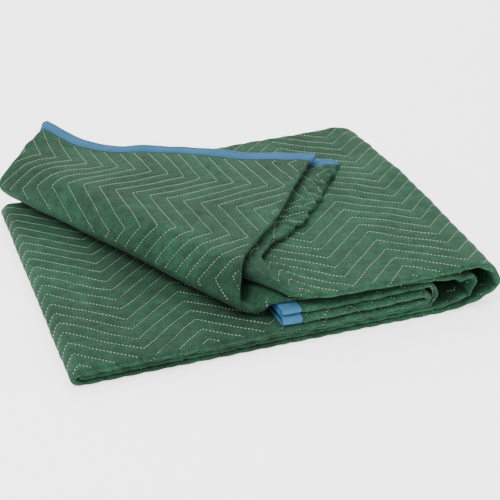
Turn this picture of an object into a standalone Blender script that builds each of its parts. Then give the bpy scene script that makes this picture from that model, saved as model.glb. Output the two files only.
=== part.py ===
# A quilted moving blanket, 1.83 by 2.03 m, folded into a flat pack.
# The long way it is folded in four, both side edges to the middle and then shut like a book, and the strip
# of four plies that this makes is laid back and forth: a short run inside, three long runs round it, and
# the last stretch turned up slantwise over the pack as a flap.
# Millimetres in the tables, metres in Blender. +X runs along the front of the pack, +Y to its back, +Z up.

import bpy
import numpy as np

MM = 0.001

# The cloth
PLY = 2.3  # the quilted cloth, batting included
BOUND_PLY = 1.2  # where the binding's stitches press it flat
BINDING_WALL = 0.7
BINDING_GAP = 0.3
BINDING_LIP = 1.2  # how far the binding stands past the cloth's end

# The pack's back and front edges
BACK = 166.0
FRONT = -278.0

# Points round a nose of the fold and round the back fold, and where the plies have points in between
NOSE_STEPS = 4
BACK_FOLD_STEPS = 4
BACK_FOLD_REACH = 9.0
RAW_EDGE = 0.035  # the side edges lie hidden this near the back fold, as a part of the strip's width
BACK_PLY_END = 0.015
ACROSS = (0.0, 0.12, 0.25, 0.4, 0.6, 0.8, 0.93, 1.0)

# Each half of the strip is two plies that meet in a nose at the front. A row holds, for both halves, the
# middle of the half, the gap from the middle of one ply to the middle of the other, and how far its nose
# stays back from the pack's front edge. "steps" is the number of steps on to the next row, and "skew" how
# much further along X the row lies at the back than at the front.
RUN_COLUMNS = ("row", "steps", "skew", "x1", "z1", "gap1", "x2", "z2", "gap2", "inset1", "inset2")
RUNS = (
    ("inner end", 1, 0, -12, 31.2, 10.4, -12, 42.7, 4.8, 2, 5),
    ("inner rim", 1, 0, 10, 31.2, 10.2, 10, 42.7, 4.8, 2, 5),
    ("inner cloth", 1, 0, 13, 31.1, 9.8, 13, 42.6, 4.6, 2, 5),
    ("inner", 1, 0, 70, 31.0, 6.0, 70, 40.2, 4.4, 2, 6),
    ("tongue start", 3, 0, 169, 30.8, 4.4, 177, 39.6, 4.0, 2, 7),
    ("tongue tip", 3, 0, 175.5, 25.5, 3.4, 187.5, 26.0, 3.6, 2, 7),
    ("tongue end", 1, 0, 169, 20.5, 4.4, 177, 14.15, 2.8, 2, 6),
    ("lower", 1, 2, -60, 20.5, 4.4, -60, 14.15, 2.8, 0, 5),
    ("left start", 2, 8, -253, 20.5, 4.4, -250, 14.45, 2.8, 0, 5),
    ("left tip", 2, 8, -262.5, 11.5, 3.0, -252.8, 11.15, 2.7, 2, 5),
    ("left end", 1, 8, -253, 2.55, 2.8, -250, 8.2, 2.8, 5, 7),
    ("bottom", 1, 4, 20, 2.55, 2.8, 20, 8.2, 2.8, 5, 7),
    ("right lift", 2, 8, 186, 2.55, 2.8, 186, 8.2, 2.8, 4, 6),
    ("right low", 3, 9, 243, 11.0, 3.4, 223, 15.5, 3.6, 2, 5),
    ("right tip", 3, 10, 268, 29.5, 3.6, 239, 31.0, 4.0, 1, 3),
    ("right high", 2, 10, 257, 51.5, 4.4, 226, 43.6, 4.4, 0, 2),
    ("right top", 1, 9, 226, 60.2, 5.0, 196, 48.4, 4.8, 0, 4),
    ("top", 2, 4, 130, 57.2, 5.0, 130, 48.0, 4.8, 0, 12),
)

# From here the strip turns: each row has a point of its own at the back and one at the front, for both
# halves, first the fan of lines over the pack, then the slanting fold, then the flap up to its bound end.
TURN_COLUMNS = (
    "row", "steps", "back_x1", "back_x2", "back_y", "back_z1", "back_z2",
    "front_x1", "front_y1", "front_z1", "gap1", "front_x2", "front_y2", "front_z2", "gap2",
)
TURNS = (
    ("over the end", 2, 40, 40, 160, 58.4, 50.9, 50, -277, 58.2, 3.6, 34, -261, 50.9, 3.0),
    ("past the end", 3, -16, -25, 163, 56.5, 50.1, 32, -274, 59.0, 3.6, -15.5, -256, 50.1, 3.0),
    ("fold in", 3, -211, -222, 166, 43.2, 29.6, 3.6, -262, 59.4, 3.4, -32, -246, 36.5, 8.0),
    ("fold tip", 3, -241, -255, 167, 53.5, 52.5, -6, -251.5, 67.7, 3.4, -53, -240, 47.0, 6.0),
    ("fold out", 3, -217, -231, 180, 68.6, 77.4, -8, -197.5, 70.7, 3.8, -39, -210, 82.0, 5.0),
    ("flap", 3, -203, -207, 215, 73.5, 83.5, 88, -101, 67.2, 4.2, 42, -114, 82.6, 5.0),
    ("outer cloth", 1, -181, -182, 240, 81.0, 91.7, 181, 17, 66.8, 4.5, 144, 22, 80.4, 4.8),
    ("outer rim", 1, -179, -180, 243, 81.4, 92.3, 183, 20, 66.8, 4.9, 147, 25, 80.4, 5.0),
    ("outer end", 0, -169, -171, 264, 84.0, 95.6, 197, 38, 66.8, 4.9, 162, 43, 80.0, 5.0),
)

PULL = 0.8  # how much of its sag a row also moves to the front

# How far a row hangs below a straight line from its back edge to its front one, at the parts ACROSS. Less
# than nothing is a row that stands up in its middle. Each row has its first half's, then its second one's.
SAGS = {
    "right tip": ((0, -4, -7, -9, -8, -5, -1.5, 0), (0, -4, -7, -9, -8, -5, -1.5, 0)),
    "right high": ((0, -4, -7, -9, -8, -5, -1.5, 0), (0, -4, -7, -9, -8, -5, -1.5, 0)),
    "fold out": ((0, -1, -2, -2, -1, 0, 0, 0), (0, -1, -2, -2, -1, 0, 0, 0)),
    "flap": ((0, 5, 8, 6, 4, 2, 0.5, 0), (0, 5, 7.5, 6, 5, 3.5, 1, 0)),
    "outer cloth": ((0, 14.5, 18.5, 11.5, 7, 4, 1, 0), (0, 15.5, 20, 14, 9.5, 6.5, 2, 0)),
    "outer rim": ((0, 15, 19, 12, 7, 4, 1, 0), (0, 16, 20.5, 14.3, 9.7, 6.6, 2, 0)),
    "outer end": ((0, 16.5, 20.5, 13, 7.5, 4.3, 1, 0), (0, 17.5, 22.2, 15.5, 10.7, 7.2, 2, 0)),
}
FLAT = ((0,) * len(ACROSS),) * 2


def half_rows(half):
    """A half's rows as numbers: back point, front point, gap, ply thickness, then the sag at ACROSS."""
    rows = []
    for values in RUNS:
        run = dict(zip(RUN_COLUMNS, values))
        x, z, gap = run[f"x{half}"], run[f"z{half}"], run[f"gap{half}"]
        nose = FRONT + run[f"inset{half}"]
        ply = BOUND_PLY if run["row"] in ("inner end", "inner rim") else PLY
        sag = SAGS.get(run["row"], FLAT)[half - 1]
        rows.append([x + run["skew"], BACK, z, x, nose, z, gap, ply, *sag])
    for values in TURNS:
        turn = dict(zip(TURN_COLUMNS, values))
        back = [turn[f"back_x{half}"], turn["back_y"], turn[f"back_z{half}"]]
        front = [turn[f"front_{axis}{half}"] for axis in "xyz"]
        ply = BOUND_PLY if turn["row"] in ("outer rim", "outer end") else PLY
        rows.append([*back, *front, turn[f"gap{half}"], ply, *SAGS.get(turn["row"], FLAT)[half - 1]])
    return np.array(rows, float)


def smooth_rows(rows, steps):
    """Rows in between, on curves through the rows that never overshoot them (monotone cubics)."""
    long = np.linalg.norm(np.diff(rows[:, [0, 2, 3, 4, 5]], axis=0), axis=1)
    slope = np.diff(rows, axis=0) / long[:, None]
    tangent = np.zeros_like(rows)
    tangent[0], tangent[-1] = slope[0], slope[-1]
    for i in range(1, len(rows) - 1):
        before, after = slope[i - 1], slope[i]
        same = before * after > 0
        u, w = long[i - 1], long[i]
        weighted = (2 * w + u) / before[same] + (w + 2 * u) / after[same]
        tangent[i][same] = 3 * (u + w) / weighted
    out = []
    for i, count in enumerate(steps):
        for k in range(count):
            t = k / count
            out.append(
                (2 * t**3 - 3 * t**2 + 1) * rows[i]
                + (t**3 - 2 * t**2 + t) * long[i] * tangent[i]
                + (3 * t**2 - 2 * t**3) * rows[i + 1]
                + (t**3 - t**2) * long[i] * tangent[i + 1]
            )
    out.append(rows[-1])
    return np.array(out)


class Half:
    """One half of the strip: where its middle runs, and which way its outer ply faces."""

    def __init__(self, half):
        steps = [row[1] for row in RUNS] + [row[1] for row in TURNS[:-1]]
        table = smooth_rows(half_rows(half), steps)
        self.back, self.front = table[:, 0:3], table[:, 3:6]
        self.gap, self.ply, self.sag = table[:, 6], table[:, 7], table[:, 8:]
        self.back_facing = self.facing(self.back)
        self.front_facing = self.facing(self.front)

    def facing(self, path):
        across = np.cross(np.gradient(path, axis=0), self.front - self.back)
        return across / np.linalg.norm(across, axis=1)[:, None]

    def middle(self, i, v):
        """The middle of the half at row i, a part v of the way from its back edge to its front one."""
        point = self.back[i] + (self.front[i] - self.back[i]) * v
        sag = np.interp(v, ACROSS, self.sag[i])
        return point - np.array([0, max(sag, 0) * PULL, sag])

    def outward(self, i, v):
        facing = self.back_facing[i] * (1 - v) + self.front_facing[i] * v
        return facing / np.linalg.norm(facing)

    def flat_ply(self, i, side, places):
        for v in places:
            away = self.outward(i, v) * side
            yield self.middle(i, v) + away * self.gap[i] / 2, away

    def nose(self, i, start):
        """From the ply on the start side round to the other one."""
        along = self.front[i] - self.back[i]
        width = np.linalg.norm(along)
        radius = self.gap[i] / 2
        v = 1 - (radius + PLY / 2) / width
        centre, facing = self.middle(i, v), self.outward(i, v)
        for k in range(NOSE_STEPS + 1):
            angle = np.pi * k / NOSE_STEPS
            away = facing * start * np.cos(angle) + along / width * np.sin(angle)
            yield centre + away * radius, away


def back_fold(one, two, i):
    """From the outer ply of the first half round the back to the outer ply of the second one."""
    top = one.middle(i, BACK_PLY_END) + one.outward(i, BACK_PLY_END) * one.gap[i] / 2
    low = two.middle(i, BACK_PLY_END) - two.outward(i, BACK_PLY_END) * two.gap[i] / 2
    centre, half = (top + low) / 2, (top - low) / 2
    radius = np.linalg.norm(half)
    out = (one.back[i] - one.front[i]) + (two.back[i] - two.front[i])
    out -= half * out.dot(half) / radius**2
    out /= np.linalg.norm(out)
    for k in range(BACK_FOLD_STEPS + 1):
        angle = np.pi * k / BACK_FOLD_STEPS
        reach = min(radius, BACK_FOLD_REACH)
        away = half / radius * np.cos(angle) + out * np.sin(angle)
        yield centre + half * np.cos(angle) + out * reach * np.sin(angle), away


def cross_section(one, two, i):
    """The four plies at row i as one back-and-forth line, with the way that its outer face looks."""
    places = ACROSS[1:-1]
    line = [
        *one.flat_ply(i, -1, (RAW_EDGE, *places)),
        *one.nose(i, -1),
        *one.flat_ply(i, 1, places[::-1]),
        *back_fold(one, two, i),
        *two.flat_ply(i, -1, places),
        *two.nose(i, -1),
        *two.flat_ply(i, 1, (*places[::-1], RAW_EDGE)),
    ]
    return np.array([point for point, _ in line]), np.array([away for _, away in line])


def folded_strip():
    """The middle of the whole cloth as rows of points, its outward directions and its thickness a row."""
    one, two = Half(1), Half(2)
    sections = [cross_section(one, two, i) for i in range(len(one.gap))]
    return np.array([s[0] for s in sections]), np.array([s[1] for s in sections]), one.ply


def cloth_mesh(middle, away, ply):
    """Both faces of the cloth, joined round its four edges."""
    rows, columns = middle.shape[:2]
    half = ply[:, None, None] / 2
    points = np.concatenate([(middle + away * half).reshape(-1, 3), (middle - away * half).reshape(-1, 3)])
    outer = np.arange(rows * columns).reshape(rows, columns)
    inner = outer + rows * columns
    faces = []
    for i in range(rows - 1):
        for j in range(columns - 1):
            faces.append((outer[i, j], outer[i, j + 1], outer[i + 1, j + 1], outer[i + 1, j]))
            faces.append((inner[i, j], inner[i + 1, j], inner[i + 1, j + 1], inner[i, j + 1]))
        faces.append((outer[i, 0], outer[i + 1, 0], inner[i + 1, 0], inner[i, 0]))
        faces.append((outer[i, -1], inner[i, -1], inner[i + 1, -1], outer[i + 1, -1]))
    for j in range(columns - 1):
        faces.append((outer[0, j], inner[0, j], inner[0, j + 1], outer[0, j + 1]))
        faces.append((outer[-1, j], outer[-1, j + 1], inner[-1, j + 1], inner[-1, j]))
    return points, faces


def binding_mesh(rim, end, away):
    """A tape folded over a bound end: rim and end are the cloth's middle where the tape stops and ends."""
    past = (end - rim) / np.linalg.norm(end - rim, axis=1)[:, None]
    inside = BOUND_PLY / 2 + BINDING_GAP
    outside = inside + BINDING_WALL
    lip, hollow = end + past * BINDING_LIP, end + past * BINDING_GAP
    loop = [
        rim + away * outside, lip + away * outside, lip - away * outside, rim - away * outside,
        rim - away * inside, hollow - away * inside, hollow + away * inside, rim + away * inside,
    ]
    columns, corners = len(rim), len(loop)
    points = np.stack(loop, axis=1).reshape(-1, 3)
    at = np.arange(columns * corners).reshape(columns, corners)
    faces = []
    for j in range(columns - 1):
        for k in range(corners):
            n = (k + 1) % corners
            if k % 4 < 2:
                faces += [(at[j, k], at[j + 1, k], at[j + 1, n]), (at[j, k], at[j + 1, n], at[j, n])]
            else:
                faces += [(at[j, k], at[j + 1, k], at[j, n]), (at[j + 1, k], at[j + 1, n], at[j, n])]
    for a, b, c, d in ((0, 1, 6, 7), (1, 2, 5, 6), (2, 3, 4, 5)):
        faces.append((at[0, a], at[0, b], at[0, c], at[0, d]))
        faces.append((at[-1, d], at[-1, c], at[-1, b], at[-1, a]))
    return points, faces


def plain_material(name, colour, roughness):
    material = bpy.data.materials.new(name)
    material.use_nodes = True
    shader = material.node_tree.nodes["Principled BSDF"]
    shader.inputs["Base Color"].default_value = (*colour, 1)
    shader.inputs["Roughness"].default_value = roughness
    shader.inputs["Metallic"].default_value = 0
    return material


def add_piece(collection, name, mesh_data, material):
    points, faces = mesh_data
    mesh = bpy.data.meshes.new(name)
    mesh.from_pydata((points * MM).tolist(), [], [[int(p) for p in face] for face in faces])
    mesh.update()
    mesh.materials.append(material)
    piece = bpy.data.objects.new(name, mesh)
    collection.objects.link(piece)
    return piece


def main():
    for old in list(bpy.data.objects):
        bpy.data.objects.remove(old)
    collection = bpy.data.collections.new("folded_moving_blanket")
    bpy.context.scene.collection.children.link(collection)
    green = plain_material("quilted green cloth", (0.070, 0.152, 0.098), 0.9)
    blue = plain_material("light blue binding", (0.15, 0.28, 0.37), 0.8)
    blue_inner = plain_material("blue binding, inner end", (0.10, 0.24, 0.36), 0.8)

    middle, away, ply = folded_strip()
    cloth = cloth_mesh(middle, away, ply)
    inner_tape = binding_mesh(middle[1], middle[0], away[0])
    outer_tape = binding_mesh(middle[-2], middle[-1], away[-1])
    everything = np.concatenate([cloth[0], inner_tape[0], outer_tape[0]])
    low, high = everything.min(axis=0), everything.max(axis=0)
    origin = np.array([(low[0] + high[0]) / 2, (low[1] + high[1]) / 2, low[2]])
    add_piece(collection, "quilted_cloth", (cloth[0] - origin, cloth[1]), green)
    inner_faces = [face[::-1] for face in inner_tape[1]]
    add_piece(collection, "end_binding_inner", (inner_tape[0] - origin, inner_faces), blue_inner)
    add_piece(collection, "end_binding_outer", (outer_tape[0] - origin, outer_tape[1]), blue)


main()
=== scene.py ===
# The looks of the folded moving blanket: its quilted cloth, zigzag stitches and bound ends.
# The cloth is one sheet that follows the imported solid's folds, row by row along the strip. Millimetres in the
# tables, metres in Blender. Quilting is counted in lines: one unit is the distance between two of them.

import math

import bpy
import numpy as np
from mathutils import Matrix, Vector


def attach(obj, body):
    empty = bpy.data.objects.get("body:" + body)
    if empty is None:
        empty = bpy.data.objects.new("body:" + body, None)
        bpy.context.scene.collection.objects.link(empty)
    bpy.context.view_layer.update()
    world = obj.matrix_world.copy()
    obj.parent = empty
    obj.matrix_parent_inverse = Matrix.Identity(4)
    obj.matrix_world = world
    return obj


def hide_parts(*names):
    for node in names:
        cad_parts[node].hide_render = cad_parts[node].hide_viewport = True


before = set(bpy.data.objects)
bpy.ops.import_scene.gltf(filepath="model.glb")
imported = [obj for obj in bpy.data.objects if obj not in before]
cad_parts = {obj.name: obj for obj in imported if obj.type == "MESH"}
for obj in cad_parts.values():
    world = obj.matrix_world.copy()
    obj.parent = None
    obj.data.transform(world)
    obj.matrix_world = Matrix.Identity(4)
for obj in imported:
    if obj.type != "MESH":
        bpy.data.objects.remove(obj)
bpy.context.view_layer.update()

MM = 0.001
TABLE_ORIGIN = np.array([7.83, -6.27, 0.0])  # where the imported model's origin lies in the tables

# The blanket
PLY = 2.3
BOUND_PLY = 1.2
LOWEST = 0.05
PUFF = 0.75  # how far the batting stands up between two quilting lines
GROOVE = 0.3  # how far a quilting line pulls the cloth in

# Unevenness: how long its waves are and how far they move the cloth, along each axis. Each kind is a sum
# of some waves, which vary in length by these factors, and so many of them together count as one in full.
WAVES = 7
WAVE_LENGTHS = (0.7, 1.6)
WAVES_AT_FULL = 4
SWELL_LENGTH = 120.0
SWELL = np.array([0.8, 1.2, 1.1])
DENT_LENGTH = 42.0
DENT = np.array([0.4, 0.8, 0.75])
CRINKLE_LENGTH = 18.0
CRINKLES = (3.4, 0.9)  # at the front edges of the flap's first and second half
CRINKLED_FROM = 0.8  # the part of the way across where they start
CRUMPLE_AT = np.array([229.0, -262.0, 31.0])  # in the hollow of the right fold
CRUMPLE_REACH = np.array([22.0, 60.0, 18.0])
CRUMPLE_LENGTH = 27.0
CRUMPLE = np.array([10.0, 6.0, 7.0])
FREE_FROM = 14.0  # above the table; further down it holds the cloth flat

# The quilting: lines one pitch apart that zigzag along the strip
PITCH = 23.4
HALF_PERIOD = 3.244
SWING = 2.818
STITCH = 4.5
STITCH_LENGTH = 3.4
STITCH_WIDTH = 0.95
STITCH_HEIGHT = 0.62  # as a part of its width
SEAM_WIDTH = 0.09  # in lines, how far from a line the cloth is pulled in and darkened with painted shade
CLOTH_WEAVE = 21  # threads to a pitch
TAPE_WEAVE = 26

# A bound end's tape: parts of the way from its edge to the cloth's end, and how far it stands off
TAPE_OUTSIDE = ((0.0, 0.95), (0.04, 1.35), (0.5, 1.45), (0.92, 1.4), (1.03, 1.05), (1.07, 0.4))
TAPE_INSIDE = ((1.02, 0.75), (0.02, 0.75))
TAPE_SEAMS = (0.14, 0.34, 0.8)
TAPE_STITCH = 3.6
TAPE_STITCH_LENGTH = 2.7
TAPE_STITCH_WIDTH = 1.2
TAPE_STITCH_AT = 1.42  # how far its stitches stand off

# Colours
CLOTH_COLOUR = (0.0096, 0.0448, 0.0212, 1)
TAPE_COLOUR = (0.031, 0.108, 0.2, 1)
THREAD_COLOUR = (0.42, 0.50, 0.38)
TAPE_THREAD_COLOUR = (0.012, 0.045, 0.13)
FLOOR_COLOUR = (0.93, 0.93, 0.93, 1)
WHITE = (1, 1, 1, 1)

# The studio, in metres and watts
FLOOR_SIZE = 12
FLOOR_GLOW = 1.5
SKY = 1.3
LIGHTS = (
    ("key light", (-1.2, -0.6, 2.4), 87, 1.6),
    ("back light", (0.8, 1.8, 1.8), 50, 1.6),
    ("front light", (1.1, -1.5, 0.5), 14, 1.2),
)

# The pack's back and front edges
BACK = 166.0
FRONT = -278.0
BACK_FOLD_REACH = 9.0
RAW_EDGE = 0.035
BACK_PLY_END = 0.015
ACROSS = (0.0, 0.12, 0.25, 0.4, 0.6, 0.8, 0.93, 1.0)

# Each half of the strip is two plies that meet in a nose at the front. A row holds, for both halves, the
# middle of the half, the gap from one ply's middle to the other's, and how far its nose stays back from the
# front edge. "step" is the distance between the mesh's rows up to the next row of the table. "shows" names
# the plies that are seen there and get the fine columns, or every second of them where it says half.
RUN_COLUMNS = ("row", "step", "shows", "skew", "x1", "z1", "gap1", "x2", "z2", "gap2", "inset1", "inset2")
RUNS = (
    ("inner end", 5, "", 0, -12, 31.2, 10.4, -12, 42.7, 4.8, 2, 5),
    ("inner rim", 5, "", 0, 10, 31.2, 10.2, 10, 42.7, 4.8, 2, 5),
    ("inner cloth", 3.3, "", 0, 13, 31.1, 9.8, 13, 42.6, 4.6, 2, 5),
    ("inner", 3.3, "", 0, 70, 31.0, 6.0, 70, 40.2, 4.4, 2, 6),
    ("tongue start", 2.5, "", 0, 169, 30.8, 4.4, 177, 39.6, 4.0, 2, 7),
    ("tongue tip", 2.5, "", 0, 175.5, 25.5, 3.4, 187.5, 26.0, 3.6, 2, 7),
    ("tongue end", 3.3, "", 0, 169, 20.5, 4.4, 177, 14.15, 2.8, 2, 6),
    ("under the end", 3.3, "b", 1, 20, 20.5, 4.4, 20, 14.15, 2.8, 1, 5),
    ("lower", 3.3, "b", 2, -60, 20.5, 4.4, -60, 14.15, 2.8, 0, 5),
    ("left start", 2, "b", 8, -253, 20.5, 4.4, -250, 14.45, 2.8, 0, 5),
    ("left tip", 2, "b", 8, -262.5, 11.5, 3.0, -252.8, 11.15, 2.7, 2, 5),
    ("left end", 3.3, "half b", 8, -253, 2.55, 2.8, -250, 8.2, 2.8, 5, 7),
    ("bottom", 3.3, "half b", 4, 20, 2.55, 2.8, 20, 8.2, 2.8, 5, 7),
    ("right lift", 3.3, "b", 8, 186, 2.55, 2.8, 186, 8.2, 2.8, 4, 6),
    ("right low", 3, "b", 9, 243, 11.0, 3.4, 223, 15.5, 3.6, 2, 5),
    ("right tip", 3, "b", 10, 268, 29.5, 3.6, 239, 31.0, 4.0, 1, 3),
    ("right high", 3, "b", 10, 257, 51.5, 4.4, 226, 43.6, 4.4, 0, 2),
    ("right top", 3.3, "b", 9, 226, 60.2, 5.0, 196, 48.4, 4.8, 0, 4),
    ("top", 3.3, "b", 4, 130, 57.2, 5.0, 130, 48.0, 4.8, 0, 12),
)

# From here the strip turns: each row has a point of its own at the back and one at the front, for both
# halves, first the fan of lines over the pack, then the slanting fold, then the flap up to its bound end.
TURN_COLUMNS = (
    "row", "step", "shows", "back_x1", "back_x2", "back_y", "back_z1", "back_z2",
    "front_x1", "front_y1", "front_z1", "gap1", "front_x2", "front_y2", "front_z2", "gap2",
)
TURNS = (
    ("over the end", 3.3, "b", 40, 40, 160, 58.4, 50.9, 50, -277, 58.2, 3.6, 34, -261, 50.9, 3.0),
    ("past the end", 7, "half b", -16, -25, 163, 56.5, 50.1, 32, -274, 59.0, 3.6, -15.5, -256, 50.1, 3.0),
    ("fold in", 3, "half b", -211, -222, 166, 43.2, 29.6, 3.6, -262, 59.4, 3.4, -32, -246, 36.5, 8.0),
    ("fold tip", 3, "a c", -241, -255, 167, 53.5, 52.5, -6, -251.5, 67.7, 3.4, -53, -240, 47.0, 6.0),
    ("fold out", 3.3, "a c", -217, -231, 180, 68.6, 77.4, -8, -197.5, 70.7, 3.8, -39, -210, 82.0, 5.0),
    ("flap", 3.3, "a c", -203, -207, 215, 73.5, 83.5, 88, -101, 67.2, 4.2, 42, -114, 82.6, 5.0),
    ("outer cloth", 3, "a c", -181, -182, 240, 81.0, 91.7, 181, 17, 66.8, 4.5, 144, 22, 80.4, 4.8),
    ("outer rim", 4, "a c", -179, -180, 243, 81.4, 92.3, 183, 20, 66.8, 4.9, 147, 25, 80.4, 5.0),
    ("outer end", 4, "a c", -169, -171, 264, 84.0, 95.6, 197, 38, 66.8, 4.9, 162, 43, 80.0, 5.0),
)

PULL = 0.8  # how much of its sag a row also moves to the front

# How far a row hangs below a straight line from its back edge to its front one, at the parts ACROSS. Less
# than nothing is a row that stands up in its middle. Each row has its first half's, then its second one's.
SAGS = {
    "right tip": ((0, -4, -7, -9, -8, -5, -1.5, 0), (0, -4, -7, -9, -8, -5, -1.5, 0)),
    "right high": ((0, -4, -7, -9, -8, -5, -1.5, 0), (0, -4, -7, -9, -8, -5, -1.5, 0)),
    "fold out": ((0, -1, -2, -2, -1, 0, 0, 0), (0, -1, -2, -2, -1, 0, 0, 0)),
    "flap": ((0, 5, 8, 6, 4, 2, 0.5, 0), (0, 5, 7.5, 6, 5, 3.5, 1, 0)),
    "outer cloth": ((0, 14.5, 18.5, 11.5, 7, 4, 1, 0), (0, 15.5, 20, 14, 9.5, 6.5, 2, 0)),
    "outer rim": ((0, 15, 19, 12, 7, 4, 1, 0), (0, 16, 20.5, 14.3, 9.7, 6.6, 2, 0)),
    "outer end": ((0, 16.5, 20.5, 13, 7.5, 4.3, 1, 0), (0, 17.5, 22.2, 15.5, 10.7, 7.2, 2, 0)),
}
FLAT = ((0,) * len(ACROSS),) * 2

# Columns of the mesh across the strip
KEPT_FACES = 0.6  # the part of the sheet's triangles that it needs for the same shape
FINE_COLUMNS = 140
COARSE_EVERY = 10
EDGE_PART = 0.86  # ply a is fine from here to its nose, where it shows beside the flap
NOSE_STEPS = 8
STITCHES_PAST_NOSE = 6
BACK_FOLD_STEPS = 8

# Where the quilting lies on each level, in lines. The low level counts along X and Y from a point on the
# table, the top one from its own point, turned a little, and the flap along its own two directions.
LOW_LEVEL_AT = (7.55, -2.3)
TOP_LEVEL_AT = (16.751, 4.777)
TOP_LEVEL_TURN = 0.0311
FLAP_ACROSS = (0.7821, -0.6252, 4.227)
FLAP_ALONG = (-0.6185, -0.7871, 6.911)
LINES_BEFORE_FRONT = 34
LINES_BEFORE_FLAP = 37

# The camera, found from the quilting's own perspective, in the tables' millimetres
CAMERA_AT = np.array([-495.3, -1457.5, 821.4])
CAMERA_TILT = math.pi / 2 - 0.4977
CAMERA_TURN = -0.3571
CAMERA_LENS = 93.6
CAMERA_SENSOR = 36
CAMERA_SEES_TO = 50  # metres


def table_rows(half):
    """A half's rows as numbers: back point, front point, gap, ply thickness, then the sag at ACROSS."""
    rows = []
    for values in RUNS:
        run = dict(zip(RUN_COLUMNS, values))
        x, z = run[f"x{half}"], run[f"z{half}"]
        nose = FRONT + run[f"inset{half}"]
        ply = BOUND_PLY if run["row"] in ("inner end", "inner rim") else PLY
        sag = SAGS.get(run["row"], FLAT)[half - 1]
        rows.append([x + run["skew"], BACK, z, x, nose, z, run[f"gap{half}"], ply, *sag])
    for values in TURNS:
        turn = dict(zip(TURN_COLUMNS, values))
        back = [turn[f"back_x{half}"], turn["back_y"], turn[f"back_z{half}"]]
        front = [turn[f"front_{axis}{half}"] for axis in "xyz"]
        ply = BOUND_PLY if turn["row"] in ("outer rim", "outer end") else PLY
        sag = SAGS.get(turn["row"], FLAT)[half - 1]
        rows.append([*back, *front, turn[f"gap{half}"], ply, *sag])
    return np.array(rows, float)


def row_lengths(rows):
    """From each row of the table to the next: the longer of the ways along the back and the front."""
    back = np.linalg.norm(np.diff(rows[:, 0:3], axis=0), axis=1)
    front = np.linalg.norm(np.diff(rows[:, 3:6], axis=0), axis=1)
    return np.maximum(back, front)


def curve(t, first, first_slope, last, last_slope):
    """A cubic from first to last, with these slopes at its ends, at t between 0 and 1."""
    return (
        (2 * t**3 - 3 * t**2 + 1) * first
        + (t**3 - 2 * t**2 + t) * first_slope
        + (3 * t**2 - 2 * t**3) * last
        + (t**3 - t**2) * last_slope
    )


def smooth_rows(rows, steps):
    """Rows in between, on curves through the rows that never overshoot them (monotone cubics)."""
    long = np.linalg.norm(np.diff(rows[:, [0, 2, 3, 4, 5]], axis=0), axis=1)
    slope = np.diff(rows, axis=0) / long[:, None]
    tangent = np.zeros_like(rows)
    tangent[0], tangent[-1] = slope[0], slope[-1]
    for i in range(1, len(rows) - 1):
        before, after = slope[i - 1], slope[i]
        same = before * after > 0
        u, w = long[i - 1], long[i]
        weighted = (2 * w + u) / before[same] + (w + 2 * u) / after[same]
        tangent[i][same] = 3 * (u + w) / weighted
    out = []
    for i, count in enumerate(steps):
        t = (np.arange(count) / count)[:, None]
        out.append(curve(t, rows[i], long[i] * tangent[i], rows[i + 1], long[i] * tangent[i + 1]))
    out.append(rows[-1:])
    return np.concatenate(out)


def unit(vectors):
    return vectors / np.linalg.norm(vectors, axis=-1, keepdims=True)


class Half:
    """One half of the strip: where its middle runs, and which way its outer ply faces, for every row."""

    def __init__(self, half, steps):
        table = smooth_rows(table_rows(half), steps)
        self.back, self.front = table[:, 0:3], table[:, 3:6]
        self.gap, self.ply, self.sag = table[:, 6], table[:, 7], table[:, 8:]
        self.along = self.front - self.back
        self.width = np.linalg.norm(self.along, axis=1)
        self.nose_v = 1 - (self.gap / 2 + PLY / 2) / self.width
        self.back_facing = unit(np.cross(np.gradient(self.back, axis=0), self.along))
        self.front_facing = unit(np.cross(np.gradient(self.front, axis=0), self.along))
        self.sag_slope = np.gradient(self.sag, ACROSS, axis=1)

    def sag_at(self, v):
        """The sag at part v of each row, on a smooth curve through the values at ACROSS."""
        places = np.array(ACROSS)
        k = np.clip(np.searchsorted(places, v, side="right") - 1, 0, len(places) - 2)
        rows = np.arange(len(v))
        span = places[k + 1] - places[k]
        t = (v - places[k]) / span
        first_slope, last_slope = span * self.sag_slope[rows, k], span * self.sag_slope[rows, k + 1]
        return curve(t, self.sag[rows, k], first_slope, self.sag[rows, k + 1], last_slope)

    def middle(self, v):
        point = self.back + self.along * v[:, None]
        sag = self.sag_at(v)
        point[:, 1] -= np.maximum(sag, 0) * PULL
        point[:, 2] -= sag
        return point

    def outward(self, v):
        return unit(self.back_facing * (1 - v[:, None]) + self.front_facing * v[:, None])

    def ply_column(self, side, low, part):
        """One column of a flat ply, at a part of the way from the v of its back end to its nose."""
        v = low + (self.nose_v - low) * part
        away = self.outward(v) * side
        return self.middle(v) + away * self.gap[:, None] / 2, away

    def nose_column(self, angle):
        """One column of the nose, an angle round from the lower ply to the outer one."""
        away = self.outward(self.nose_v) * -math.cos(angle) + unit(self.along) * math.sin(angle)
        return self.middle(self.nose_v) + away * self.gap[:, None] / 2, away


def back_fold_column(one, two, angle):
    """One column of the fold round the back, from the first half's outer ply to the second one's."""
    v = np.full(len(one.gap), BACK_PLY_END)
    top = one.middle(v) + one.outward(v) * one.gap[:, None] / 2
    low = two.middle(v) - two.outward(v) * two.gap[:, None] / 2
    centre, half = (top + low) / 2, (top - low) / 2
    radius = np.linalg.norm(half, axis=1)[:, None]
    out = -one.along - two.along
    out -= half * (np.sum(half * out, axis=1)[:, None] / radius**2)
    out = unit(out)
    reach = np.minimum(radius, BACK_FOLD_REACH)
    away = half / radius * math.cos(angle) + out * math.sin(angle)
    return centre + half * math.cos(angle) + out * reach * math.sin(angle), away


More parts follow.
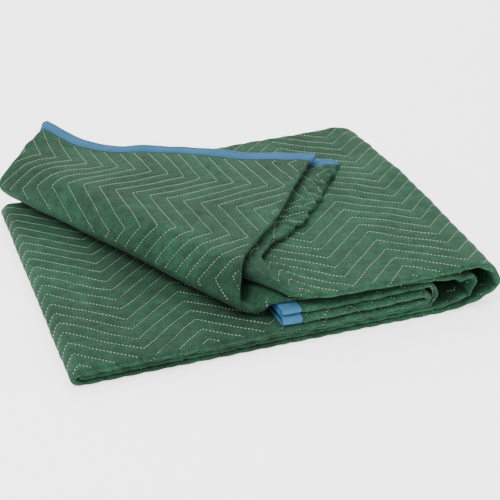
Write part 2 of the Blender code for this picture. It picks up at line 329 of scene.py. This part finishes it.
def strip_columns(one, two):
    """Every column of the strip, from one raw edge to the other: points, facing, and the ply it is on."""
    parts = np.linspace(0, 1, FINE_COLUMNS + 1)
    columns, plies = [], []

    def ply(half, side, low, values, name):
        for part in values:
            columns.append(half.ply_column(side, low, part))
            plies.append(name)

    def nose(half, name):
        for k in range(1, NOSE_STEPS):
            columns.append(half.nose_column(math.pi * k / NOSE_STEPS))
            plies.append(name)

    ply(one, -1, RAW_EDGE, parts, "a")
    nose(one, "nose")
    ply(one, 1, BACK_PLY_END, parts[::-1], "b")
    for k in range(1, BACK_FOLD_STEPS):
        columns.append(back_fold_column(one, two, math.pi * k / BACK_FOLD_STEPS))
        plies.append("back")
    ply(two, -1, BACK_PLY_END, parts, "c")
    nose(two, "nose")
    ply(two, 1, RAW_EDGE, parts[::-1], "d")
    points = np.stack([point for point, _ in columns], axis=1)
    away = np.stack([facing for _, facing in columns], axis=1)
    return points, away, np.array(plies)


def kept_columns(plies, shows):
    """Which columns the mesh has in a row where these plies show."""
    keep = np.isin(plies, ("nose", "back"))
    for name in "abcd":
        own = np.flatnonzero(plies == name)
        keep[own[::COARSE_EVERY]] = True
        keep[own[[0, -1]]] = True
        if name == "a" and "a" in shows.split():
            keep[own[int(EDGE_PART * len(own)):]] = True
        elif name in shows.split():
            keep[own[::2] if "half" in shows else own] = True
    return np.flatnonzero(keep)


def zigzag(along):
    """The zigzag's place between -1 and 1, lowest at 0 and highest at one half period."""
    return 1 - 2 * np.abs(np.mod(along / HALF_PERIOD, 2) - 1)


def level_maps(points):
    """Quilting coordinates (along, across) of points on the low level, the top level and the flap."""
    x = points[..., 0] / PITCH + LOW_LEVEL_AT[0]
    y = points[..., 1] / PITCH + LOW_LEVEL_AT[1]
    c, s = math.cos(TOP_LEVEL_TURN), math.sin(TOP_LEVEL_TURN)
    dx, dy = x - TOP_LEVEL_AT[0], y - TOP_LEVEL_AT[1]
    top = (dx * c + dy * s, dy * c - dx * s)
    flap = tuple(v[0] * x + v[1] * y + v[2] for v in (FLAP_ALONG, FLAP_ACROSS))
    return (x, y), top, flap


def nearest_shift(gap):
    """The whole number of zigzag periods nearest to a gap along the strip."""
    period = 2 * HALF_PERIOD
    return np.round(gap / period) * period


def ramp(rows, first, last):
    return np.clip((np.arange(rows) - first) / (last - first), 0, 1)


def quilting(points, plies, at):
    """Each point's place in the quilting, in lines: along the strip, and across it from the raw edge."""
    rows = len(points)
    low, top, flap = level_maps(points)
    middle = np.flatnonzero(plies == "b")[FINE_COLUMNS // 2]
    path = np.linalg.norm(np.diff(points[:, middle], axis=0), axis=1) / PITCH
    path = np.concatenate([[0], np.cumsum(path)])[:, None]

    def carried(level, row):
        """A level's count along the strip, carried on round a bend from this row."""
        return level[row][None, :] + (path[row] - path)

    along = np.array(low[0])
    first, last = at["tongue end"], at["left start"]
    along[:first] = carried(low[0], first)[:first]
    from_left = carried(low[0], last)
    from_right = carried(top[0], at["right top"])
    gap = from_right[at["bottom"], middle] - from_left[at["bottom"], middle]
    from_left = from_left + nearest_shift(gap)
    along[: last + 1] += nearest_shift(gap)
    part = ramp(rows, at["left end"], at["right lift"])[:, None]
    along[last:] = (from_left * (1 - part) + from_right * part)[last:]
    along[at["right top"]:] = top[0][at["right top"]:]
    own_steps = np.linalg.norm(np.diff(points, axis=0, prepend=points[:1]), axis=2)
    own_path = np.cumsum(own_steps, axis=0) / PITCH
    flat_from = at["fold out"]
    on_flap = np.array(flap[0])
    on_flap[:flat_from] = flap[0][flat_from] + own_path[flat_from] - own_path[:flat_from]
    gap = on_flap[at["fold tip"], middle] - top[0][at["fold tip"], middle]
    part = ramp(rows, at["past the end"], at["fold tip"])[:, None]
    shifted = on_flap - nearest_shift(gap)
    along[at["past the end"]:] = (top[0] * (1 - part) + shifted * part)[at["past the end"]:]

    turned = np.arange(rows) >= at["fold tip"]
    on_top = (np.arange(rows) >= at["right tip"]) & ~turned
    across = np.where(turned[:, None], flap[1], np.where(on_top[:, None], top[1], low[1]))
    bent = np.isin(plies, ("nose", "back"))
    rise = np.diff(points[:, :, 2], axis=1) / PITCH * (bent[1:] | bent[:-1])
    steps = np.hypot(np.diff(across, axis=1), rise)
    count = np.concatenate([np.zeros((rows, 1)), np.cumsum(steps, axis=1)], axis=1)
    on_c = np.flatnonzero(plies == "c")[FINE_COLUMNS // 2]
    start = np.where(
        turned,
        LINES_BEFORE_FLAP + across[:, on_c] - count[:, on_c],
        LINES_BEFORE_FRONT + across[:, middle] - count[:, middle],
    )
    turn = slice(at["fold in"], at["fold tip"] + 1)
    start[turn] = np.linspace(start[at["fold in"]], start[at["fold tip"]], turn.stop - turn.start)
    return along, count + start[:, None]


def soft_waves(points, length, seed):
    """Smooth unevenness between -1 and 1, from a few waves in directions of their own."""
    random = np.random.default_rng(seed)
    total = np.zeros(points.shape[:-1])
    for _ in range(WAVES):
        direction = unit(random.normal(size=3))
        wave = length * random.uniform(*WAVE_LENGTHS)
        total += np.sin(points @ direction * (2 * math.pi / wave) + random.uniform(0, 2 * math.pi))
    return total / WAVES_AT_FULL


def waves_each_way(points, length, seeds):
    """Soft waves of one length along each axis, one seed for each."""
    return np.stack([soft_waves(points, length, seed) for seed in seeds], axis=-1)


def unevenness(points, plies, at):
    """How far each point is out of its place: neighbouring plies go the same way, so none meets another."""
    moved = waves_each_way(points, SWELL_LENGTH, (4, 5, 6)) * SWELL
    moved += waves_each_way(points, DENT_LENGTH, (7, 8, 9)) * DENT
    rows, parts = np.arange(len(points)), np.linspace(0, 1, FINE_COLUMNS + 1)
    edge = np.zeros(len(plies))
    edge[plies == "nose"] = 1
    for name, places in (("a", parts), ("b", parts[::-1]), ("c", parts), ("d", parts[::-1])):
        edge[plies == name] = np.clip((places - CRINKLED_FROM) / (1 - CRINKLED_FROM), 0, 1) ** 2
    first_half = np.arange(len(plies)) < np.flatnonzero(plies == "back")[0]
    edge *= np.where(first_half, *CRINKLES)
    part = ramp(len(rows), at["fold tip"], at["flap"])[:, None] * edge
    moved += waves_each_way(points, CRINKLE_LENGTH, (10, 11, 12)) * part[..., None]
    near = np.exp(-np.sum(((points - CRUMPLE_AT) / CRUMPLE_REACH) ** 2, axis=-1))
    moved += waves_each_way(points, CRUMPLE_LENGTH, (13, 14, 15)) * near[..., None] * CRUMPLE
    return moved * np.clip(points[..., 2:] / FREE_FROM, 0, 1)


def fine_strip():
    """The fine cloth: middle points, facing, ply of each column, rows named in the table, and quilting."""
    names = [row[0] for row in RUNS] + [row[0] for row in TURNS]
    spacing = [row[1] for row in RUNS] + [row[1] for row in TURNS]
    shows = [row[2] for row in RUNS] + [row[2] for row in TURNS]
    lengths = np.maximum(row_lengths(table_rows(1)), row_lengths(table_rows(2)))
    steps = [max(1, math.ceil(length / step)) for length, step in zip(lengths, spacing)]
    starts = np.concatenate([[0], np.cumsum(steps)])
    at = dict(zip(names, starts))
    row_shows = [shows[i] for i, count in enumerate(steps) for _ in range(count)] + [shows[-1]]
    one, two = Half(1, steps), Half(2, steps)
    points, away, plies = strip_columns(one, two)
    along, across = quilting(points, plies, at)
    return points, away, plies, one.ply, at, row_shows, along, across


def puffed(ply, along, across):
    """How far the outer face stands from the cloth's middle: batting between the lines, pressed at them."""
    part = np.mod(across - SWING / 2 * zigzag(along), 1)
    rise = np.sin(math.pi * part)
    thin = np.clip((ply[:, None] - BOUND_PLY) / (PLY - BOUND_PLY), 0, 1)
    return ply[:, None] / 2 + thin * (rise * PUFF - (1 - rise) * GROOVE)


def zipped(row_a, columns_a, row_b, columns_b):
    """Faces between two rows that may have different columns, looking the way the cloth's outer face does."""
    if len(columns_a) == len(columns_b) and (columns_a == columns_b).all():
        return [
            (row_a[i], row_a[i + 1], row_b[i + 1], row_b[i])
            for i in range(len(columns_a) - 1)
        ]
    faces, i, j = [], 0, 0
    while i < len(columns_a) - 1 or j < len(columns_b) - 1:
        ahead = j == len(columns_b) - 1 or (
            i < len(columns_a) - 1 and columns_a[i + 1] <= columns_b[j + 1]
        )
        if ahead:
            faces.append((row_a[i], row_a[i + 1], row_b[j]))
            i += 1
        else:
            faces.append((row_a[i], row_b[j + 1], row_b[j]))
            j += 1
    return faces


def cloth_faces(columns, coarse, rows, count):
    """The faces of the closed sheet. columns are the outer face's kept columns, row by row."""
    outer = [kept + i * count for i, kept in enumerate(columns)]
    inner = [coarse + (rows + i) * count for i in range(rows)]
    faces = []
    for i in range(rows - 1):
        faces += zipped(outer[i], columns[i], outer[i + 1], columns[i + 1])
        faces += [face[::-1] for face in zipped(inner[i], coarse, inner[i + 1], coarse)]
        faces.append((outer[i][0], outer[i + 1][0], inner[i + 1][0], inner[i][0]))
        faces.append((outer[i][-1], inner[i][-1], inner[i + 1][-1], outer[i + 1][-1]))
    faces += zipped(inner[0], coarse, outer[0], columns[0])
    faces += zipped(outer[-1], columns[-1], inner[-1], coarse)
    return faces


def mesh_object(name, points, faces, material, uv=None):
    """An object from points in the tables' millimetres, without the points that no face uses."""
    flat = np.concatenate([np.array(face) for face in faces])
    used, index = np.unique(flat, return_inverse=True)
    sizes = np.array([len(face) for face in faces])
    mesh = bpy.data.meshes.new(name)
    mesh.vertices.add(len(used))
    mesh.vertices.foreach_set("co", ((points[used] - TABLE_ORIGIN) * MM).ravel())
    mesh.loops.add(len(flat))
    mesh.loops.foreach_set("vertex_index", index.astype(np.int32))
    mesh.polygons.add(len(faces))
    starts = np.concatenate([[0], np.cumsum(sizes)[:-1]])
    mesh.polygons.foreach_set("loop_start", starts.astype(np.int32))
    mesh.update(calc_edges=True)
    if uv is not None:
        layer = mesh.uv_layers.new(name="quilting")
        layer.data.foreach_set("uv", uv[used][index].ravel())
    mesh.shade_smooth()
    mesh.materials.append(material)
    piece = bpy.data.objects.new(name, mesh)
    bpy.context.scene.collection.objects.link(piece)
    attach(piece, "root")
    return piece


def with_fewer_faces(piece):
    """The same shape from fewer triangles: edges go first where the cloth is flattest."""
    fewer = piece.modifiers.new("fewer faces", "DECIMATE")
    fewer.ratio = KEPT_FACES
    bpy.context.view_layer.update()
    lighter = bpy.data.meshes.new_from_object(piece.evaluated_get(bpy.context.evaluated_depsgraph_get()))
    piece.modifiers.remove(fewer)
    piece.data = lighter


def stitch_threads(start, middle, end, facing, width):
    """Short threads from start over middle to end, each a slim eight-sided bead half sunk into the cloth."""
    along = unit(end - start)
    side = unit(np.cross(facing, along)) * width / 2
    up = facing * width * STITCH_HEIGHT
    corners = np.stack([start, middle + side, middle + up, middle - side, middle - up, end], axis=1)
    corners[..., 2] = np.maximum(corners[..., 2], LOWEST)
    around = ((1, 2), (2, 3), (3, 4), (4, 1))
    shape = [(0, b, a) for a, b in around] + [(5, a, b) for a, b in around]
    base = np.arange(len(start))[:, None, None] * 6
    return corners.reshape(-1, 3), (base + np.array(shape)).reshape(-1, 3)


def walk(points, facing, gap, length):
    """Threads laid along a line of points: starts, middles, ends and facings, one for each stitch."""
    steps = np.linalg.norm(np.diff(points, axis=0), axis=1)
    run = np.concatenate([[0], np.cumsum(steps)])
    starts = np.arange(gap / 3, run[-1] - length, gap)

    def at(values, places):
        return np.stack([np.interp(places, run, values[:, k]) for k in range(3)], axis=1)

    middles = starts + length / 2
    facings = unit(at(facing, middles))
    return at(points, starts), at(points, middles), at(points, starts + length), facings


def quilting_lines(surface, away, phase, columns):
    """The stitched lines on the outer face, each as its points and facings, found where phase is whole."""
    lines, open_lines = [], {}
    for i, kept in enumerate(columns):
        values = phase[i, kept]
        found = {}
        for line in range(math.ceil(values.min()), math.floor(values.max()) + 1):
            k = np.flatnonzero((values[:-1] - line) * (values[1:] - line) <= 0)
            if len(k) == 0:
                continue
            k = k[0]
            t = (line - values[k]) / (values[k + 1] - values[k] + 1e-9)
            point = surface[i, kept[k]] * (1 - t) + surface[i, kept[k + 1]] * t
            found[line] = (point, away[i, kept[k]])
        for line in list(open_lines):
            if line not in found:
                lines.append(open_lines.pop(line))
        for line, place in found.items():
            open_lines.setdefault(line, []).append(place)
    lines += open_lines.values()
    return [tuple(np.array(part) for part in zip(*line)) for line in lines if len(line) > 3]


class Graph:
    """A material's nodes, added one by one."""

    def __init__(self, name):
        self.material = bpy.data.materials.new(name)
        self.material.use_nodes = True
        self.tree = self.material.node_tree
        self.shader = self.tree.nodes["Principled BSDF"]

    def put(self, socket, value):
        if isinstance(value, bpy.types.NodeSocket):
            self.tree.links.new(value, socket)
        else:
            socket.default_value = value

    def node(self, kind, inputs=(), **settings):
        node = self.tree.nodes.new(kind)
        for key, value in settings.items():
            setattr(node, key, value)
        for key, value in dict(inputs).items():
            self.put(node.inputs[key], value)
        return node

    def math(self, operation, *values):
        node = self.node("ShaderNodeMath", operation=operation)
        for socket, value in zip(node.inputs, values):
            self.put(socket, value)
        return node.outputs[0]

    def ramp(self, value, low, high, to_low=0.0, to_high=1.0):
        inputs = {"Value": value, "From Min": low, "From Max": high, "To Min": to_low, "To Max": to_high}
        return self.node("ShaderNodeMapRange", inputs, interpolation_type="SMOOTHSTEP").outputs[0]

    def noise(self, vector, scale, detail=3.0, rough=0.55):
        inputs = {"Vector": vector, "Scale": scale, "Detail": detail, "Roughness": rough}
        return self.node("ShaderNodeTexNoise", inputs).outputs["Fac"]

    def mix(self, part, first, second, blend="MIX"):
        node = self.node("ShaderNodeMix", data_type="RGBA", blend_type=blend)
        for socket, value in zip([node.inputs[i] for i in (0, 6, 7)], (part, first, second)):
            self.put(socket, value)
        return node.outputs[2]

    def grey(self, value):
        return self.node("ShaderNodeCombineColor", {"Red": value, "Green": value, "Blue": value}).outputs[0]

    def bump(self, height, distance, strength=1.0, normal=None):
        inputs = {"Height": height, "Distance": distance, "Strength": strength}
        if normal is not None:
            inputs["Normal"] = normal
        return self.node("ShaderNodeBump", inputs).outputs["Normal"]


def weave(graph, across, along, threads):
    """A plain weave's height: threads over and under, so many to a quilting pitch."""
    turn = 2 * math.pi * threads
    first = graph.math("SINE", graph.math("MULTIPLY", across, turn))
    second = graph.math("SINE", graph.math("MULTIPLY", along, turn))
    return graph.math("MULTIPLY", first, second)


def streaks(graph, across, along):
    """Uneven threads: noise drawn out along the strip and, on top of it, across the strip."""
    total = None
    for scales in ((24.0, 3.0), (3.0, 24.0)):
        x = graph.math("MULTIPLY", across, scales[0])
        y = graph.math("MULTIPLY", along, scales[1])
        vector = graph.node("ShaderNodeCombineXYZ", {"X": x, "Y": y}).outputs[0]
        part = graph.math("MULTIPLY", graph.noise(vector, 1.0, 2.0, 0.6), 0.5)
        total = part if total is None else graph.math("ADD", total, part)
    return graph.ramp(total, 0.35, 0.65)


def cloth_material():
    graph = Graph("quilted green cloth")
    place = graph.node("ShaderNodeTexCoord").outputs["Object"]
    quilting_uv = graph.node("ShaderNodeUVMap", uv_map="quilting").outputs[0]
    split = graph.node("ShaderNodeSeparateXYZ", {"Vector": quilting_uv})
    across, along = split.outputs[0], split.outputs[1]
    turn = graph.math("FLOORED_MODULO", graph.math("DIVIDE", along, HALF_PERIOD), 2.0)
    swing = graph.math("ABSOLUTE", graph.math("SUBTRACT", turn, 1.0))
    swing = graph.math("MULTIPLY_ADD", swing, -SWING, SWING / 2)
    phase = graph.math("SUBTRACT", across, swing)
    to_line = graph.math("PINGPONG", phase, 0.5)
    seam = graph.ramp(to_line, 0.0, SEAM_WIDTH, 1.0, 0.0)
    fine = weave(graph, across, along, CLOTH_WEAVE)
    patches = graph.noise(place, 9.0, 4.0)
    mottle = graph.noise(place, 75.0, 4.0, 0.65)
    specks = graph.noise(place, 420.0, 3.0, 0.7)
    threads = streaks(graph, across, along)
    tone = graph.ramp(patches, 0.3, 0.7, 0.72, 1.28)
    tone = graph.math("MULTIPLY", tone, graph.ramp(mottle, 0.3, 0.7, 0.72, 1.25))
    tone = graph.math("MULTIPLY", tone, graph.ramp(specks, 0.25, 0.75, 0.7, 1.3))
    tone = graph.math("MULTIPLY", tone, graph.math("MULTIPLY_ADD", threads, 0.5, 0.75))
    tone = graph.math("MULTIPLY", tone, graph.math("MULTIPLY_ADD", fine, 0.12, 1.0))
    # Painted shade: the cloth's colour is darker in the grooves along the quilting lines
    tone = graph.math("MULTIPLY", tone, graph.math("MULTIPLY_ADD", seam, -0.3, 1.0))
    colour = graph.mix(1.0, CLOTH_COLOUR, graph.grey(tone), "MULTIPLY")
    graph.put(graph.shader.inputs["Base Color"], colour)
    graph.put(graph.shader.inputs["Roughness"], 0.9)
    graph.put(graph.shader.inputs["Specular IOR Level"], 0.2)
    graph.put(graph.shader.inputs["Sheen Weight"], 0.08)
    graph.put(graph.shader.inputs["Sheen Roughness"], 0.5)
    graph.put(graph.shader.inputs["Sheen Tint"], (0.45, 0.8, 0.6, 1))
    crinkle = graph.noise(place, 60.0, 5.0, 0.65)
    normal = graph.bump(crinkle, 0.008, 0.5)
    normal = graph.bump(graph.math("MULTIPLY", seam, -1.0), 0.0006, 0.8, normal)
    normal = graph.bump(threads, 0.0006, 0.5, normal)
    normal = graph.bump(fine, 0.0003, 0.6, normal)
    graph.put(graph.shader.inputs["Normal"], normal)
    return graph.material


def thread_material(name, colour):
    graph = Graph(name)
    place = graph.node("ShaderNodeTexCoord").outputs["Object"]
    tone = graph.math("MULTIPLY_ADD", graph.noise(place, 400.0), 0.5, 0.75)
    shade = graph.mix(1.0, (*colour, 1), graph.grey(tone), "MULTIPLY")
    graph.put(graph.shader.inputs["Base Color"], shade)
    graph.put(graph.shader.inputs["Roughness"], 0.6)
    return graph.material


def tape_material():
    graph = Graph("light blue binding tape")
    place = graph.node("ShaderNodeTexCoord").outputs["Object"]
    uv = graph.node("ShaderNodeUVMap", uv_map="quilting").outputs[0]
    split = graph.node("ShaderNodeSeparateXYZ", {"Vector": uv})
    fine = weave(graph, split.outputs[0], split.outputs[1], TAPE_WEAVE)
    fade = graph.noise(place, 35.0, 4.0)
    tone = graph.math("MULTIPLY_ADD", fade, 0.5, 0.75)
    tone = graph.math("MULTIPLY", tone, graph.math("MULTIPLY_ADD", fine, 0.12, 1.0))
    colour = graph.mix(1.0, TAPE_COLOUR, graph.grey(tone), "MULTIPLY")
    graph.put(graph.shader.inputs["Base Color"], colour)
    graph.put(graph.shader.inputs["Roughness"], 0.8)
    graph.put(graph.shader.inputs["Specular IOR Level"], 0.12)
    normal = graph.bump(graph.noise(place, 120.0, 3.0), 0.002, 0.4)
    graph.put(graph.shader.inputs["Normal"], graph.bump(fine, 0.0003, 0.5, normal))
    return graph.material


def tape_piece(name, rim, end, away, outward_faces, material):
    """A tape folded over a bound end, from the cloth's middle at the tape's edge and at the cloth's end."""
    loop = list(TAPE_OUTSIDE)
    loop += [(part, -off) for part, off in TAPE_OUTSIDE[::-1]]
    loop += [(part, -off) for part, off in TAPE_INSIDE[::-1]] + [(part, off) for part, off in TAPE_INSIDE]
    points = np.stack([rim + (end - rim) * part + away * off for part, off in loop], axis=1)
    columns, corners = points.shape[:2]
    at = np.arange(columns * corners).reshape(columns, corners)
    following = np.roll(at, -1, axis=1)
    sides = np.stack([at[:-1], at[1:], following[1:], following[:-1]], axis=-1).reshape(-1, 4)
    half = corners // 2
    caps = [(k, k + 1, corners - 2 - k, corners - 1 - k) for k in range(half - 1)]
    ends = [[at[0, k] for k in cap] for cap in caps] + [[at[-1, k] for k in cap[::-1]] for cap in caps]
    faces = [tuple(face) for face in sides] + [tuple(face) for face in ends]
    if not outward_faces:
        faces = [face[::-1] for face in faces]
    run = np.concatenate([[0], np.cumsum(np.linalg.norm(np.diff(end, axis=0), axis=1))]) / PITCH
    width = np.linalg.norm(end - rim, axis=1).mean() / PITCH
    uv = np.stack([np.repeat(run, corners), np.tile([part * width for part, _ in loop], columns)], axis=1)
    piece = mesh_object(name, points.reshape(-1, 3), faces, material, uv)
    return piece


def tape_stitches(name, rim, end, away, material):
    """The rows of stitches that hold a tape, on both of its faces."""
    corners, faces, used = [], [], 0
    for part in TAPE_SEAMS:
        for side in (1, -1):
            line = rim + (end - rim) * part + away * side * TAPE_STITCH_AT
            threads = walk(line, away * side, TAPE_STITCH, TAPE_STITCH_LENGTH)
            points, shape = stitch_threads(*threads, TAPE_STITCH_WIDTH)
            corners.append(points)
            faces.append(shape + used)
            used += len(points)
    faces = list(map(tuple, np.concatenate(faces)))
    piece = mesh_object(name, np.concatenate(corners), faces, material)
    return piece


def cloth_stitches(surface, away, phase, plies, at, material):
    """Threads on the quilting lines of every ply that shows."""
    places = np.arange(len(plies))
    b, c = places[plies == "b"], places[plies == "c"]
    past_nose = NOSE_STEPS + STITCHES_PAST_NOSE
    nose_one = np.arange(b[0] - past_nose, b[0] + STITCHES_PAST_NOSE)
    nose_two = np.arange(c[-1] - STITCHES_PAST_NOSE, c[-1] + past_nose)
    first_edge = np.arange(int(EDGE_PART * FINE_COLUMNS), b[0] + STITCHES_PAST_NOSE)
    regions = (
        (at["inner cloth"], at["tongue end"], nose_one),
        (at["inner cloth"], at["fold in"], nose_two),
        (at["tongue end"], at["fold in"], np.arange(nose_one[0], b[-1] + BACK_FOLD_STEPS // 2)),
        (at["fold tip"], at["outer rim"], np.arange(c[0] - BACK_FOLD_STEPS // 2, nose_two[-1])),
        (at["fold out"], at["outer rim"], first_edge),
    )
    corners, faces, used = [], [], 0
    for first, last, columns in regions:
        rows = slice(first, last)
        lines = quilting_lines(surface[rows], away[rows], phase[rows], [columns] * (last - first))
        for points, facing in lines:
            threads = walk(points, facing, STITCH, STITCH_LENGTH)
            if len(threads[0]) == 0:
                continue
            made, shape = stitch_threads(*threads, STITCH_WIDTH)
            corners.append(made)
            faces.append(shape + used)
            used += len(made)
    faces = list(map(tuple, np.concatenate(faces)))
    piece = mesh_object("quilting_stitches", np.concatenate(corners), faces, material)
    return piece


def make_blanket():
    points, away, plies, ply, at, row_shows, along, across = fine_strip()
    points = points + unevenness(points, plies, at)
    surface = points + away * puffed(ply, along, across)[..., None]
    under = points - away * (ply / 2)[:, None, None]
    surface[..., 2] = np.maximum(surface[..., 2], LOWEST)
    rows, count = points.shape[:2]
    columns = [kept_columns(plies, shows) for shows in row_shows]
    coarse = kept_columns(plies, "")
    faces = cloth_faces(columns, coarse, rows, count)
    both = np.concatenate([surface.reshape(-1, 3), under.reshape(-1, 3)])
    uv = np.stack([across.ravel(), along.ravel()], axis=1)
    cloth = mesh_object("quilted_cloth_sheet", both, faces, cloth_material(), np.concatenate([uv, uv]))
    with_fewer_faces(cloth)
    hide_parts("quilted_cloth")

    pale = thread_material("pale quilting thread", THREAD_COLOUR)
    phase = across - SWING / 2 * zigzag(along)
    stitches = cloth_stitches(surface, away, phase, plies, at, pale)

    blue = tape_material()
    dark = thread_material("blue tape thread", TAPE_THREAD_COLOUR)
    kept = kept_columns(plies, "a c")[::2]
    inner = (points[at["inner rim"], kept], points[0, kept], away[0, kept])
    outer = (points[at["outer rim"], kept], points[-1, kept], away[-1, kept])
    inner_tape = tape_piece("inner_end_tape", *inner, False, blue)
    outer_tape = tape_piece("outer_end_tape", *outer, True, blue)
    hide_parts("end_binding_inner")
    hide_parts("end_binding_outer")
    seams = [
        tape_stitches("inner_tape_stitches", *inner, dark),
        tape_stitches("outer_tape_stitches", *outer, dark),
    ]


def make_studio():
    bpy.ops.mesh.primitive_plane_add(size=FLOOR_SIZE)
    floor = bpy.context.object
    floor.name = "studio_floor"
    graph = Graph("pale floor")
    graph.put(graph.shader.inputs["Base Color"], FLOOR_COLOUR)
    graph.put(graph.shader.inputs["Roughness"], 0.9)
    graph.put(graph.shader.inputs["Emission Color"], WHITE)
    graph.put(graph.shader.inputs["Emission Strength"], FLOOR_GLOW)
    floor.data.materials.append(graph.material)
    world = bpy.data.worlds.new("soft studio")
    world.use_nodes = True
    sky = world.node_tree.nodes["Background"].inputs
    sky["Color"].default_value = WHITE
    sky["Strength"].default_value = SKY
    bpy.context.scene.world = world
    for name, place, energy, size in LIGHTS:
        light = bpy.data.lights.new(name, "AREA")
        light.energy, light.size = energy, size
        lamp = bpy.data.objects.new(name, light)
        lamp.location = place
        lamp.rotation_euler = (-Vector(place)).to_track_quat("-Z", "Y").to_euler()
        bpy.context.scene.collection.objects.link(lamp)


def make_camera():
    data = bpy.data.cameras.new("camera")
    data.lens = CAMERA_LENS
    data.sensor_width = CAMERA_SENSOR
    data.clip_end = CAMERA_SEES_TO
    camera = bpy.data.objects.new("camera", data)
    camera.location = (CAMERA_AT - TABLE_ORIGIN) * MM
    camera.rotation_euler = (CAMERA_TILT, 0, CAMERA_TURN)
    bpy.context.scene.collection.objects.link(camera)
    bpy.context.scene.camera = camera


make_camera()
make_studio()
make_blanket()
